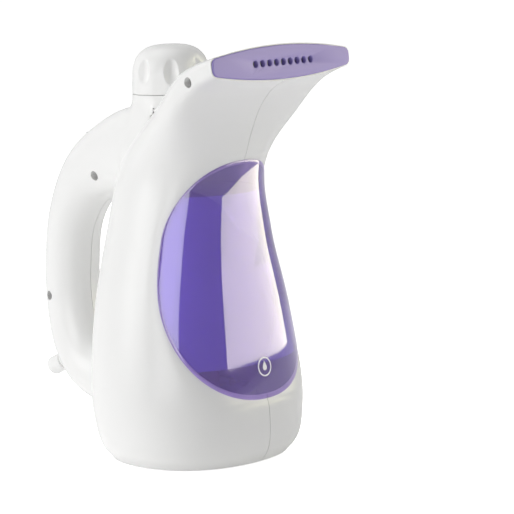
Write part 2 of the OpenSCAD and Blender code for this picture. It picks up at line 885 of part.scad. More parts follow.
// A pan-head screw with its head from z = 0 up and its shank pointing down
module screw(shank) {
    color(steel_colour)
        difference() {
            union() {
                cylinder(r = screw_head_r, h = screw_head_h, $fn = 32);
                translate([0, 0, -shank]) cylinder(r = screw_r, h = shank + 0.5, $fn = 24);
            }
            for (a = [0, 90])
                rotate([0, 0, a])
                    translate([-screw_head_r * 0.6, -0.4, screw_head_h - 0.9])
                        cube([screw_head_r * 1.2, 0.8, 2]);
        }
}

module base_screw(i) {
    translate([TABS[i].x, TABS[i].y, base_z + base_recess - seat]) rotate([180, 0, 0]) screw(9);
}

module boiler_screw(i) {
    rotate([0, 0, 45 + 90 * i])
        translate([lug_ring, 0, boiler_z + lug_t + seat]) screw(9);
}

module housing_screw(i) {
    screw_place(SCREWS[i]) translate([0, 0, seat]) screw(screw_l);
}

// ------------------------------------------------------------ switch and cord
module switch_bezel() {
    color(rubber_colour)
        at_switch()
            difference() {
                union() {
                    translate([0, 0, bezel_z + seat]) slot_block(bezel_l, bezel_w, bezel_t);
                    translate([0, 0, bezel_z - 4])
                        slot_block(bezel_l - bezel_step, bezel_w - bezel_step, 5);
                }
                translate([rocker_x - rocker_l / 2 - slip, -rocker_w / 2 - slip, bezel_z - 5])
                    cube([rocker_l + 2 * slip, rocker_w + 2 * slip, 20]);
                translate([lens_x, 0, bezel_z - 5]) cylinder(r = lens_r + slip / 2, h = 20, $fn = 32);
                translate([rocker_x, 0, bezel_z + bezel_t - pin_drop])
                    rotate([90, 0, 0])
                        cylinder(r = rocker_pin_r + run, h = rocker_w + 2.4, center = true, $fn = 32);
            }
}

module power_rocker() {
    pin_z = bezel_z + bezel_t - pin_drop;
    bow_r = 12;
    color(rocker_colour)
        at_switch()
            translate([rocker_x, 0, pin_z]) {
                rotate([90, 0, 0])
                    cylinder(r = rocker_pin_r, h = rocker_w + 2.2, center = true, $fn = 32);
                intersection() {
                    rotate([90, 0, 0])
                        linear_extrude(height = rocker_w, center = true)
                            difference() {
                                polygon([[-rocker_l / 2 + 0.9, -3], [rocker_l / 2 - 0.9, -3],
                                         [rocker_l / 2, 1.4], [rocker_l / 2, 3.8],
                                         [-rocker_l / 2, 5.2], [-rocker_l / 2, 1.4]]);
                                translate([0.8, bow_r + 2.4]) circle(r = bow_r, $fn = 64);
                            }
                    rotate([90, 0, 0])
                        cylinder(r = rocker_l / 2 + 0.2, h = rocker_w + 2, center = true, $fn = 64);
                }
            }
}

module indicator_lens() {
    color("#c8452f")
        at_switch()
            translate([lens_x, 0, bezel_z - 3]) {
                cylinder(r = lens_r, h = bezel_t + 3.1, $fn = 32);
                translate([0, 0, bezel_t + 3.1]) cylinder(r1 = lens_r, r2 = lens_r - 0.8, h = 0.8, $fn = 32);
            }
}

module switch_body() {
    color(switch_colour)
        at_switch() {
            translate([-switch_body_l / 2, -bezel_w / 2 + 1.5, bezel_z - switch_drop - switch_body_h])
                cube([switch_body_l, bezel_w - 3, switch_body_h]);
            for (x = [-8, 8])
                translate([x - 0.4, -2.4, bezel_z - switch_drop - switch_body_h - 7])
                    cube([0.8, 4.8, 8]);
        }
}

module cord_gland() {
    end_r = 2.4;
    color(shell_colour)
        at_gland()
            difference() {
                union() {
                    rotate_extrude($fn = 48)
                        translate([0, gland_start + slip]) {
                            square([gland_r, gland_l - end_r]);
                            square([gland_r - end_r, gland_l]);
                            translate([gland_r - end_r, gland_l - end_r]) circle(r = end_r, $fn = 48);
                        }
                    translate([0, 0, gland_start - 10]) cylinder(r = gland_waist_r, h = 11, $fn = 48);
                    translate([0, 0, gland_start - 12.5]) cylinder(r = gland_r + 0.6, h = 3, $fn = 48);
                }
                cylinder(r = gland_bore_r, h = 60, $fn = 48);
            }
}

// ----------------------------------------------------------------- all pieces
housing_right();
housing_left();
window_cover();
water_tank();
filler_neck();
filler_collar();
base_plate();
foot_pad(0);  // foot_pad_1
foot_pad(1);  // foot_pad_2
foot_pad(2);  // foot_pad_3
foot_pad(3);  // foot_pad_4
base_screw(0);  // base_screw_1
base_screw(1);  // base_screw_2
base_screw(2);  // base_screw_3
base_screw(3);  // base_screw_4
housing_screw(0);  // housing_screw_head
housing_screw(1);  // housing_screw_web
housing_screw(2);  // housing_screw_grip
steam_plate();
plate_gasket();
steam_manifold();
steam_hose();
boiler_pan();
boiler_gasket();
boiler_lid();
heating_element();
boiler_screw(0);  // boiler_screw_1
boiler_screw(1);  // boiler_screw_2
boiler_screw(2);  // boiler_screw_3
boiler_screw(3);  // boiler_screw_4
feed_tube();
thermostat();
thermal_fuse();
switch_body();
switch_bezel();
power_rocker();
indicator_lens();
cord_gland();
cap_seal();
cap_liner();
filler_cap();
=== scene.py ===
"""Looks of a hand-held garment steamer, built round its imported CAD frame."""
import json
import math

import bmesh
import bpy
import numpy as np
from bpy.props import FloatProperty, FloatVectorProperty, IntProperty, PointerProperty
from mathutils import Matrix, Vector
from mathutils.bvhtree import BVHTree


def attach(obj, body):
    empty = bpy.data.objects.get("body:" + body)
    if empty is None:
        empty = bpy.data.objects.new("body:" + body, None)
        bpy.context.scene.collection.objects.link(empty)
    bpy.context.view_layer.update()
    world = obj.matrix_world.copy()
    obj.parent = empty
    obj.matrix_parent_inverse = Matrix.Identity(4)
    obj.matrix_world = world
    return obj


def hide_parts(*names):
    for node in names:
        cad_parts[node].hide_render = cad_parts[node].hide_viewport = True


bl_info = {
    "name": "Garment steamer",
    "version": (1, 0, 0),
    "blender": (4, 5, 0),
    "location": "3D View > Sidebar > Steamer",
    "description": "Builds the housing, window, tank, head and cap of a garment steamer",
    "category": "Add Mesh",
}

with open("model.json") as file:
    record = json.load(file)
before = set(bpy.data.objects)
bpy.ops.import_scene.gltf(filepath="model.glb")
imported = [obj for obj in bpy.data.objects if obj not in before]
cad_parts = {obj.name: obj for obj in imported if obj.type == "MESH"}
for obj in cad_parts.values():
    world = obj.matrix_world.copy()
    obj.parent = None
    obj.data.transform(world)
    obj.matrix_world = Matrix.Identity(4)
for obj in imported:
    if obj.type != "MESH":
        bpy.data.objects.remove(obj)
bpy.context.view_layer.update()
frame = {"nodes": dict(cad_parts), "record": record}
MM = 0.001
SLIP = 0.3 * MM  # between pieces that sit side by side
FAR = 0.3  # past the whole steamer, for cutting blocks


def srgb(code):
    """Linear red, green and blue of an sRGB hex colour."""
    parts = [int(code[i:i + 2], 16) / 255 for i in (1, 3, 5)]
    return [p / 12.92 if p <= 0.04045 else ((p + 0.055) / 1.055) ** 2.4 for p in parts]


def length(text, millimetres):
    """A size in metres, given in millimetres."""
    return FloatProperty(name=text, default=millimetres * MM, unit="LENGTH")


def tint(text, code):
    """A colour that the user may change."""
    return FloatVectorProperty(name=text, subtype="COLOR", default=srgb(code), min=0, max=1)


# ------------------------------------------------------------------ settings
class BodySizes(bpy.types.PropertyGroup):
    """Sizes of the jug-shaped body"""
    wall: length("Thickness of the housing", 2.4)
    foot_gap: length("Table to the housing's lower edge", 1)
    foot_width: length("Width across the foot", 106)
    foot_front: length("Reach of the foot ahead of the origin", 51)
    foot_back: length("Reach of the foot behind the origin", 47)
    belly_width: length("Width across the belly", 132)
    belly_front: length("Reach of the belly ahead of the origin", 58)
    belly_back: length("Reach of the belly behind the origin", 56)
    belly_height: length("Height of the widest level", 45)
    neck_width: length("Width across the neck", 84)
    neck_front: length("Reach of the neck ahead of the origin", 45.3)
    neck_back: length("Reach of the neck behind the origin", 36)
    neck_height: length("Height where the head starts to flare", 176)
    blend: length("Reach of the soft crease where two forms meet", 7)
    cell: length("Edge length of the housing's mesh", 1.15)
    seam: length("Open width of the parting line", 0.36)


class HeadSizes(bpy.types.PropertyGroup):
    """Sizes of the steam head and its plate"""
    width: length("Width of the head at the plate", 118.8)
    thickness: length("Thickness of the head at the plate", 21)
    reach: length("Plate face ahead of the origin", 77)
    rise: length("Middle of the plate above the neck", 61.4)
    tilt: FloatProperty(name="Backward tilt of the plate", default=math.radians(6), unit="ROTATION")
    rim: length("Housing rim round the plate", 0.9)
    proud: length("How far the plate stands out", 1)
    plate: length("Thickness of the plate", 3)
    taper: FloatProperty(name="How much lower the plate's ends are", default=0.52)
    corner: length("Corner radius at the plate's blunt ends", 3.27)
    holes: IntProperty(name="Number of steam holes", default=9, min=1)
    hole: length("Diameter of a steam hole", 4)
    pitch: length("Spacing of the steam holes", 5.9)


class HandleSizes(bpy.types.PropertyGroup):
    """Sizes of the loop handle and its fittings"""
    width: length("Width of the grip", 35)
    depth: length("Front to back of the grip", 33)
    reach: length("Grip axis behind the origin", 104.5)
    arm_height: length("Height of the lower arm's axis", 38)
    scoop_radius: length("Radius of the thumb scoop", 40)
    scoop_depth: length("Depth of the thumb scoop", 3.4)
    shoulder: length("Switch's origin to the shoulder's skin", 23.2)
    bezel_length: length("Length of the switch's bezel", 34)
    bezel_width: length("Width of the switch's bezel", 15)
    bezel_sink: length("How far the bezel's seat is sunk in the scoop", 1.6)
    gland: length("Radius of the cord gland", 5.8)
    screw_hole: length("Radius of a screw recess", 3)


class WindowSizes(bpy.types.PropertyGroup):
    """Sizes of the tinted window"""
    gap: length("Window to housing", 0.15)
    back: length("Rear edge ahead of the origin", 18.6)
    bottom: length("Height of the lower end", 39.6)
    edge: length("Radius along the window's edge", 0.9)
    above_neck: length("Window's top above the neck", 4.3)
    tank_floor: length("Height of the tank's floor", 60)
    tank_back: length("Tank's flat back behind the origin", 28)
    tank_wall: length("Wall of the tank", 1.8)
    tank_gap: length("Tank to housing", 0.9)
    tank_drop: length("Tank's roof below the neck", 16)
    badge: length("Width of the printed water badge", 11.5)


class CapSizes(bpy.types.PropertyGroup):
    """Sizes of the filler cap and its collar"""
    back: length("Filler axis behind the origin", 12)
    radius: length("Radius of the cap and of the collar", 23.5)
    collar_rise: length("Collar top above the neck", 41.5)
    height: length("Height of the cap", 29)
    scallops: IntProperty(name="Number of finger scallops", default=8, min=3)
    scallop_depth: length("Depth of a finger scallop", 2.6)
    tube: length("Outer radius of the filler tube", 14.5)
    tube_bore: length("Radius of the filler tube's bore", 12.7)
    collar_bore: length("Radius of the collar's bore", 16.1)
    flange: length("Thickness of the filler tube's flanges", 1.8)
    thread_pitch: length("Rise of the thread for one turn", 4)


class Finishes(bpy.types.PropertyGroup):
    """Colours of the finishes"""
    shell: tint("White ABS", "#F3F3F2")
    window: tint("Tinted window", "#A890DF")
    window_tint: tint("What the window lets through", "#C9B4F4")
    tank: tint("Water tank", "#CFDCFB")
    plate: tint("Steam plate", "#9D8FD0")
    rubber: tint("Feet and seals", "#2E2E31")
    floor: tint("Studio floor", "#F7F7F7")


def sizes(context, *names):
    """The settings of the named groups: body, head, handle, window, cap or finishes."""
    found = [getattr(context.scene, "steamer_" + name) for name in names]
    return found if len(names) > 1 else found[0]


GROUPS = {
    "steamer_body": BodySizes, "steamer_head": HeadSizes, "steamer_handle": HandleSizes,
    "steamer_window": WindowSizes, "steamer_cap": CapSizes, "steamer_finishes": Finishes,
}


# ------------------------------------------------------------- curves and forms
def mix(a, b, t):
    """The value t of the way from a to b."""
    return a + (b - a) * t


def along(rows, t):
    """A smooth curve through rows, with t counted in rows."""
    rows = np.asarray(rows, float)
    n = len(rows) - 1
    i = min(int(math.floor(t)), n - 1)
    p0, p1, p2, p3 = rows[max(i - 1, 0)], rows[i], rows[i + 1], rows[min(i + 2, n)]
    f = t - i
    return (2 * p1 + (p2 - p0) * f + (2 * p0 - 5 * p1 + 4 * p2 - p3) * f * f
            + (3 * p1 - p0 - 3 * p2 + p3) * f ** 3) / 2


def bisect(test, yes, no, steps):
    """The last value on the way from yes to no at which test still holds."""
    for _ in range(steps):
        middle = 0.5 * (yes + no)
        if test(middle):
            yes = middle
        else:
            no = middle
    return yes


def power(v, n):
    """A sine or cosine bent towards a squarer or rounder corner."""
    return np.sign(v) * np.abs(v) ** (2 / n)


def blunt(context, v):
    """Half height of the plate's outline at v along its half width, both as shares."""
    h = sizes(context, "head")
    corner = 2 * h.corner / h.width
    near = np.maximum(np.abs(v) - 1 + corner, 0) / corner
    drop = 2 * h.corner / h.thickness * (1 - np.sqrt(np.maximum(1 - near * near, 0)))
    return 1 - h.taper * v * v - drop


def head_place(context):
    """Middle of the steam plate, the way it faces and the way down across it."""
    head, body = sizes(context, "head", "body")
    middle = Vector((head.reach, 0, body.neck_height + head.rise))
    facing = Vector((math.cos(head.tilt), 0, math.sin(head.tilt)))
    down = Vector((math.sin(head.tilt), 0, -math.cos(head.tilt)))
    return middle, facing, down


def stations(context):
    """Body sections, foot to plate: front x z, back x z, half width, widest, corners."""
    b, h = sizes(context, "body", "head")
    middle, _, down = head_place(context)
    low, high = middle + down * h.thickness / 2, middle - down * h.thickness / 2
    foot = np.array([b.foot_front, b.foot_gap, -b.foot_back, b.foot_gap, b.foot_width / 2])
    belly = np.array([b.belly_front, b.belly_height, -b.belly_back, b.belly_height,
                      b.belly_width / 2])
    neck = np.array([b.neck_front, b.neck_height - MM, -b.neck_back, b.neck_height + 2 * MM,
                     b.neck_width / 2])
    head = np.array([low.x, low.z, high.x, high.z, h.width / 2])
    plain = [0.5, 2.2, 2.2, 0]
    rows = [
        (foot, plain),
        (mix(foot, belly, np.array([0.86, 0.18, 0.56, 0.18, 0.54])), plain),
        (mix(foot, belly, np.array([1.2, 0.48, 0.94, 0.48, 0.81])), plain),
        (belly, plain),
        (mix(belly, neck, np.array([0.47, 0.35, 0.1, 0.35, 0.25])), plain),
        (mix(belly, neck, np.array([0.98, 0.69, 0.4, 0.69, 0.71])), plain),
        (neck, plain),
        (mix(neck, head, np.array([0.31, 0.57, 0.38, 0.55, 0.69])), [0.4, 2.3, 1.9, 0]),
        (mix(neck, head, np.array([0.65, 0.86, 0.62, 0.85, 0.86])), [0.38, 2.4, 2, 0.35]),
        (head, [0.5, 2.4, 2.4, 1]),
    ]
    return np.array([list(r) + s for r, s in rows])


def section_point(context, s, angle, inset=0.0):
    """A point of one body section, drawn in by inset; angles may be an array."""
    front, back = s[0:2], s[2:4]
    chord = (back - front) / np.linalg.norm(back - front)
    f, r = front + chord * inset, back - chord * inset
    w = mix(f, r, s[5])
    c, q = np.cos(angle), np.sin(angle)
    ahead = c >= 0
    n = np.where(ahead, s[6], s[7])
    v, u = power(q, n), np.abs(power(c, n))
    u = mix(u, np.minimum(blunt(context, v), u * 4), s[8])
    x = w[0] + np.where(ahead, f[0] - w[0], r[0] - w[0]) * u
    z = w[1] + np.where(ahead, f[1] - w[1], r[1] - w[1]) * u
    return np.stack([x, v * (s[4] - inset), z], -1)


def body_rings(context, inset, sides, step, spare=0.0):
    """Rings of the body's skin; spare runs it on past the foot and past the plate."""
    rows = stations(context)
    angles = np.linspace(0, 2 * math.pi, sides, endpoint=False)
    last = len(rows) - 1
    count = int(round(last / step))
    rings = [section_point(context, along(rows, last * i / count), angles, inset)
             for i in range(count + 1)]
    if spare:
        _, facing, _ = head_place(context)
        rings.insert(0, rings[0] - np.array([0, 0, spare]))
        rings.append(rings[-1] + np.array(facing) * spare)
    return rings


def grip_stations(context):
    """Handle stations along its axis: x, z, half depth, half width, squareness of the corner."""
    h, b = sizes(context, "handle", "body")
    neck, arm = b.neck_height, h.arm_height
    d, w = h.depth / 2, h.width / 2
    return np.array([
        [-4 * MM, neck + 11 * MM, 27 * MM, 28 * MM, 3],
        [-22 * MM, neck + 9 * MM, 27 * MM, 25.5 * MM, 3],
        [-48 * MM, neck + 5 * MM, 25 * MM, 21.5 * MM, 2.6],
        [-80 * MM, neck - 9 * MM, 20 * MM, 18.5 * MM, 2.2],
        [6 * MM - h.reach, mix(arm, neck, 0.74), d + 0.5 * MM, w, 2],
        [-h.reach, mix(arm, neck, 0.5), d, w, 2],
        [0.5 * MM - h.reach, mix(arm, neck, 0.3), d, w, 2],
        [7 * MM - h.reach, arm + 18 * MM, d + 0.5 * MM, w, 2],
        [24 * MM - h.reach, arm + 3 * MM, d + 1 * MM, w, 2],
        [12 * MM - b.belly_back, arm, d, w, 2],
    ])


def grip_rings(context, inset, sides, step):
    """Rings of the handle's skin, square to its axis."""
    rows = grip_stations(context)
    last = len(rows) - 1
    angles = np.linspace(0, 2 * math.pi, sides, endpoint=False)
    rings = []
    for i in range(int(round(last / step)) + 1):
        t = i * step
        s = along(rows, t)
        way = along(rows, min(t + 0.01, last))[:2] - along(rows, max(t - 0.01, 0))[:2]
        out = np.array([way[1], -way[0]]) / np.linalg.norm(way)
        r = (s[2] - inset) * power(np.cos(angles), s[4])
        side = (s[3] - inset) * power(np.sin(angles), s[4])
        rings.append(np.stack([s[0] + out[0] * r, side, s[1] + out[1] * r], -1))
    return rings


def window_top(context):
    """Height of the window's upper end."""
    body, window = sizes(context, "body", "window")
    return body.neck_height + window.above_neck


def window_edge(context, z):
    """How far ahead of the origin the window's edge is at height z."""
    w, b = sizes(context, "window", "body")
    top = window_top(context)
    middle = mix(w.bottom, top, 0.64)
    if z > middle:
        share = min((z - middle) / (top - middle), 1)
        return mix(w.back, b.neck_front + 1.4 * MM, share ** 2.4)
    share = min((middle - z) / (middle - w.bottom), 1)
    return mix(w.back, b.belly_front + 0.6 * MM, share ** 2.1)


# ------------------------------------------------------------------ mesh making
def new_object(name, verts, faces):
    """A mesh object with smooth faces that all point outwards."""
    mesh = bpy.data.meshes.new(name)
    mesh.from_pydata([tuple(v) for v in verts], [], [tuple(f) for f in faces])
    bm = bmesh.new()
    bm.from_mesh(mesh)
    bmesh.ops.recalc_face_normals(bm, faces=bm.faces)
    bm.to_mesh(mesh)
    bm.free()
    mesh.shade_smooth()
    obj = bpy.data.objects.new(name, mesh)
    bpy.context.scene.collection.objects.link(obj)
    return obj


def loft(name, rings, closed=False):
    """A closed skin through rings of equal count; closed joins the last ring to the first."""
    m, n = len(rings[0]), len(rings)
    verts = np.concatenate(rings)
    spans = n if closed else n - 1
    faces = [(i * m + k, i * m + (k + 1) % m, (i + 1) % n * m + (k + 1) % m, (i + 1) % n * m + k)
             for i in range(spans) for k in range(m)]
    if not closed:
        faces += [tuple(range(m - 1, -1, -1)), tuple((n - 1) * m + k for k in range(m))]
    return new_object(name, verts, faces)


def lathe(name, profile, sides, place=Matrix.Identity(4)):
    """A solid turned from a profile of radius and height, closed on the axis at both ends."""
    angles = np.linspace(0, 2 * math.pi, sides, endpoint=False)
    rings = [np.stack([r * np.cos(angles), r * np.sin(angles), np.full(sides, z)], -1)
             for r, z in profile if r > 0]
    obj = loft(name, rings)
    obj.data.transform(place)
    return obj


def prism(name, outline, low, high, place=Matrix.Identity(4)):
    """An outline of x and y pushed from height low to height high."""
    rings = [np.array([[x, y, z] for x, y in outline]) for z in (low, high)]
    obj = loft(name, rings)
    obj.data.transform(place)
    return obj


def placed(origin, z_axis, x_axis):
    """A matrix whose Z runs along z_axis and X along x_axis."""
    z = Vector(z_axis).normalized()
    x = Vector(x_axis).normalized()
    y = z.cross(x)
    m = Matrix((x, y, z)).transposed().to_4x4()
    m.translation = origin
    return m


def apply_modifiers(obj):
    """Writes the modifiers' result into the object's own mesh."""
    graph = bpy.context.evaluated_depsgraph_get()
    mesh = bpy.data.meshes.new_from_object(obj.evaluated_get(graph))
    old = obj.data
    obj.modifiers.clear()
    obj.data = mesh
    bpy.data.meshes.remove(old)


def combine(obj, others, operation):
    """Joins, cuts or intersects obj with each of others, which are used up."""
    for other in others:
        mod = obj.modifiers.new("combine", "BOOLEAN")
        mod.operation, mod.object, mod.solver = operation, other, "MANIFOLD"
        apply_modifiers(obj)
        bpy.data.objects.remove(other)
    return obj


def copy_of(obj, name):
    """A separate copy of a mesh object."""
    twin = bpy.data.objects.new(name, obj.data.copy())
    bpy.context.scene.collection.objects.link(twin)
    return twin


def crisp(obj, degrees=32):
    """Smooth shading with true edges where faces meet more sharply than degrees."""
    obj.data.shade_smooth()
    obj.data.set_sharp_from_angle(angle=math.radians(degrees))


def finish_piece(context, obj, body, slot, *nodes, ink=None):
    """Gives a piece its material and the body it rides on, and hides the CAD nodes it stands for.
    """
    obj.data.materials.clear()
    obj.data.materials.append(ink or material(context, slot))
    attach(obj, body)
    if nodes:
        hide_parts(*nodes)


class Field:
    """Signed distance to a closed mesh, positive outside, for points near a union of parts."""

    def __init__(self, obj):
        bm = bmesh.new()
        bm.from_mesh(obj.data)
        bmesh.ops.triangulate(bm, faces=bm.faces)
        self.tree = BVHTree.FromBMesh(bm)
        bm.free()

    def at(self, point):
        """Distance and outward direction at a point."""
        near, normal, _, dist = self.tree.find_nearest(point)
        # a point of the union is never deep inside one of its parts
        side = -1.0 if (point - near).dot(normal) < 0 and dist < 3 * MM else 1.0
        if dist > 2e-5:
            normal = (point - near) * (side / dist)
        return dist * side, normal


def soft_union(parts, reach):
    """Distance and direction of several fields run together with a soft crease."""
    d, n = parts[0]
    for other, m in parts[1:]:
        overlap = max(reach - abs(d - other), 0) / reach
        share = 0.5 * overlap if d < other else 1 - 0.5 * overlap
        d = min(d, other) - overlap * overlap * reach / 4
        n = n.lerp(m, share)
    return d, n.normalized()


# -------------------------------------------------------------------- materials
def node(tree, kind, settings, links):
    """Adds a shader node, with values for its properties or sockets and links to other nodes."""
    made = tree.nodes.new(kind)
    for key, value in settings.items():
        if key in made.inputs.keys() or isinstance(key, int):
            made.inputs[key].default_value = value
        else:
            setattr(made, key, value)
    for key, source in links.items():
        tree.links.new(source, made.inputs[key])
    return made


def rgba(colour, factor=1.0):
    """A colour with full alpha, made lighter or darker by factor."""
    return [min(c * factor, 1) for c in colour[:3]] + [1]


def textured(name, colour, spread, grain_mm, bump_mm, settings, rough=None):
    """A Principled finish whose colour varies a little and whose surface has a fine grain."""
    material = bpy.data.materials.new(name)
    material.use_nodes = True
    tree = material.node_tree
    tree.nodes.clear()
    place = node(tree, "ShaderNodeTexCoord", {}, {})
    grain = node(tree, "ShaderNodeTexNoise", {"Scale": 1000 / grain_mm, "Detail": 3.0},
                 {"Vector": place.outputs["Object"]})
    cloud = node(tree, "ShaderNodeTexNoise", {"Scale": 1000 / 45, "Detail": 2.0},
                 {"Vector": place.outputs["Object"]})
    shade = node(tree, "ShaderNodeMapRange",
                 {"From Min": 0.1, "From Max": 0.9, "To Min": 0.0, "To Max": 1.0},
                 {"Value": cloud.outputs["Fac"]})
    base = node(tree, "ShaderNodeMix",
                {"data_type": "RGBA", 6: rgba(colour, 1 - spread), 7: rgba(colour, 1 + spread)},
                {"Factor": shade.outputs["Result"]})
    bump = node(tree, "ShaderNodeBump", {"Strength": 1.0, "Distance": bump_mm * MM},
                {"Height": grain.outputs["Fac"]})
    links = {"Base Color": base.outputs[2], "Normal": bump.outputs["Normal"]}
    if rough:
        uneven = node(tree, "ShaderNodeMapRange",
                      {"From Min": 0.1, "From Max": 0.9, "To Min": rough[0], "To Max": rough[1]},
                      {"Value": cloud.outputs["Fac"]})
        links["Roughness"] = uneven.outputs["Result"]
    shader = node(tree, "ShaderNodeBsdfPrincipled", settings, links)
    node(tree, "ShaderNodeOutputMaterial", {}, {"Surface": shader.outputs[0]})
    return material


def lets_lamps_in(material, tint):
    """Makes clear plastic pass lamplight straight on, tinted, to what is behind it."""
    tree = material.node_tree
    output = next(n for n in tree.nodes if n.type == "OUTPUT_MATERIAL")
    surface = output.inputs["Surface"].links[0].from_socket
    path = node(tree, "ShaderNodeLightPath", {}, {})
    through = node(tree, "ShaderNodeBsdfTransparent", {"Color": rgba(tint)}, {})
    both = node(tree, "ShaderNodeMixShader", {},
                {"Fac": path.outputs["Is Shadow Ray"], 1: surface, 2: through.outputs[0]})
    tree.links.new(both.outputs[0], output.inputs["Surface"])


def make_materials(context):
    """All finishes, by the slot that they are for."""
    c = sizes(context, "finishes")
    # slot: name, colour, its spread, grain in mm, height of the grain in mm, shader, roughness
    finishes = {
        # Injection-moulded ABS with a polished tool: white, a clean gloss with faint waves
        "shell": ("abs_moulded_gloss_white", c.shell, 0.004, 6.0, 0.004,
                  {"IOR": 1.54, "Specular IOR Level": 0.3}, (0.26, 0.275)),
        # Tinted polycarbonate, polished: a deep gloss over a clear violet body
        "window": ("polycarbonate_tinted_polished", c.window, 0.02, 30.0, 0.003,
                   {"IOR": 1.586, "Transmission Weight": 0.7, "Roughness": 0.04,
                    "Coat Weight": 0.6, "Coat Roughness": 0.05}),
        # Natural polypropylene, moulded: milky with a faint blue
        "tank": ("polypropylene_dyed_moulded", c.tank, 0.03, 4.0, 0.01, {"IOR": 1.49}, (0.3, 0.4)),
        # Enamelled aluminium plate: a satin colour coat over pressed metal
        "plate": ("aluminium_enamelled_satin", c.plate, 0.02, 1.2, 0.006,
                  {"IOR": 1.52, "Specular IOR Level": 0.3}, (0.45, 0.52)),
        # Moulded nitrile rubber: near black, matt and finely grained
        "rubber": ("nitrile_rubber_moulded", c.rubber, 0.1, 0.8, 0.03,
                   {"IOR": 1.52, "Roughness": 0.75}),
        # Moulded silicone of the cap's seal: mid grey, soft and matt
        "seal_rubber": ("silicone_seal_grey_moulded", srgb("#55555A"), 0.06, 1.5, 0.02,
                        {"IOR": 1.42, "Roughness": 0.6}),
        # Extruded silicone tube and gaskets: brick red, a little light passes in
        "silicone": ("silicone_tube_extruded", srgb("#C9705A"), 0.05, 2.0, 0.02,
                     {"IOR": 1.42, "Roughness": 0.45, "Subsurface Weight": 0.1}),
        # Zinc-plated steel screws, turned
        "screws": ("steel_zinc_plated_turned", srgb("#B9BCC0"), 0.06, 0.6, 0.004,
                   {"Metallic": 1.0}, (0.25, 0.4)),
        # Die-cast aluminium of the boiler and manifold: dull and grainy
        "alloy": ("aluminium_die_cast", srgb("#A9ADB2"), 0.07, 0.9, 0.03,
                  {"Metallic": 1.0}, (0.45, 0.6)),
        # Drawn stainless tube of the heating element
        "heater": ("stainless_tube_drawn", srgb("#B4B6B8"), 0.05, 0.7, 0.004,
                   {"Metallic": 1.0}, (0.3, 0.42)),
        # Moulded phenolic of the thermostat and cap liner: cream, half matt
        "insulator": ("phenolic_moulded_cream", srgb("#E8E2D0"), 0.04, 1.2, 0.02,
                      {"IOR": 1.5, "Roughness": 0.55}),
        # Drawn brass can of the thermal fuse
        "brass": ("brass_drawn", srgb("#C8A552"), 0.06, 0.7, 0.004, {"Metallic": 1.0}, (0.25, 0.4)),
        # Nylon switch body from a spark-eroded tool: black with a fine grain
        "black_plastic": ("nylon_spark_eroded_black", srgb("#1C1C1F"), 0.12, 0.7, 0.02,
                          {"IOR": 1.53}, (0.4, 0.5)),
        # Injection-moulded ABS of the rocker: light grey gloss
        "grey_plastic": ("abs_moulded_gloss_grey", srgb("#C4C5C8"), 0.02, 3.0, 0.004,
                         {"IOR": 1.54}, (0.22, 0.3)),
        # Clear red polycarbonate of the lamp's lens
        "lens": ("polycarbonate_red_lens", srgb("#D2402A"), 0.04, 2.0, 0.004,
                 {"IOR": 1.58, "Roughness": 0.12, "Transmission Weight": 0.5}),
        # White pad-printing ink: thin and flat
        "ink": ("pad_printed_ink_white", srgb("#F4F2F8"), 0.01, 0.5, 0.003,
                {"IOR": 1.5, "Roughness": 0.4}),
    }
    made = {slot: textured(*finish) for slot, finish in finishes.items()}
    lets_lamps_in(made["window"], c.window_tint)
    return made


def material(context, slot):
    """The finish for a slot, made once."""
    if "steamer_made" not in context.scene:
        context.scene["steamer_made"] = {k: m.name for k, m in make_materials(context).items()}
    return bpy.data.materials[context.scene["steamer_made"][slot]]


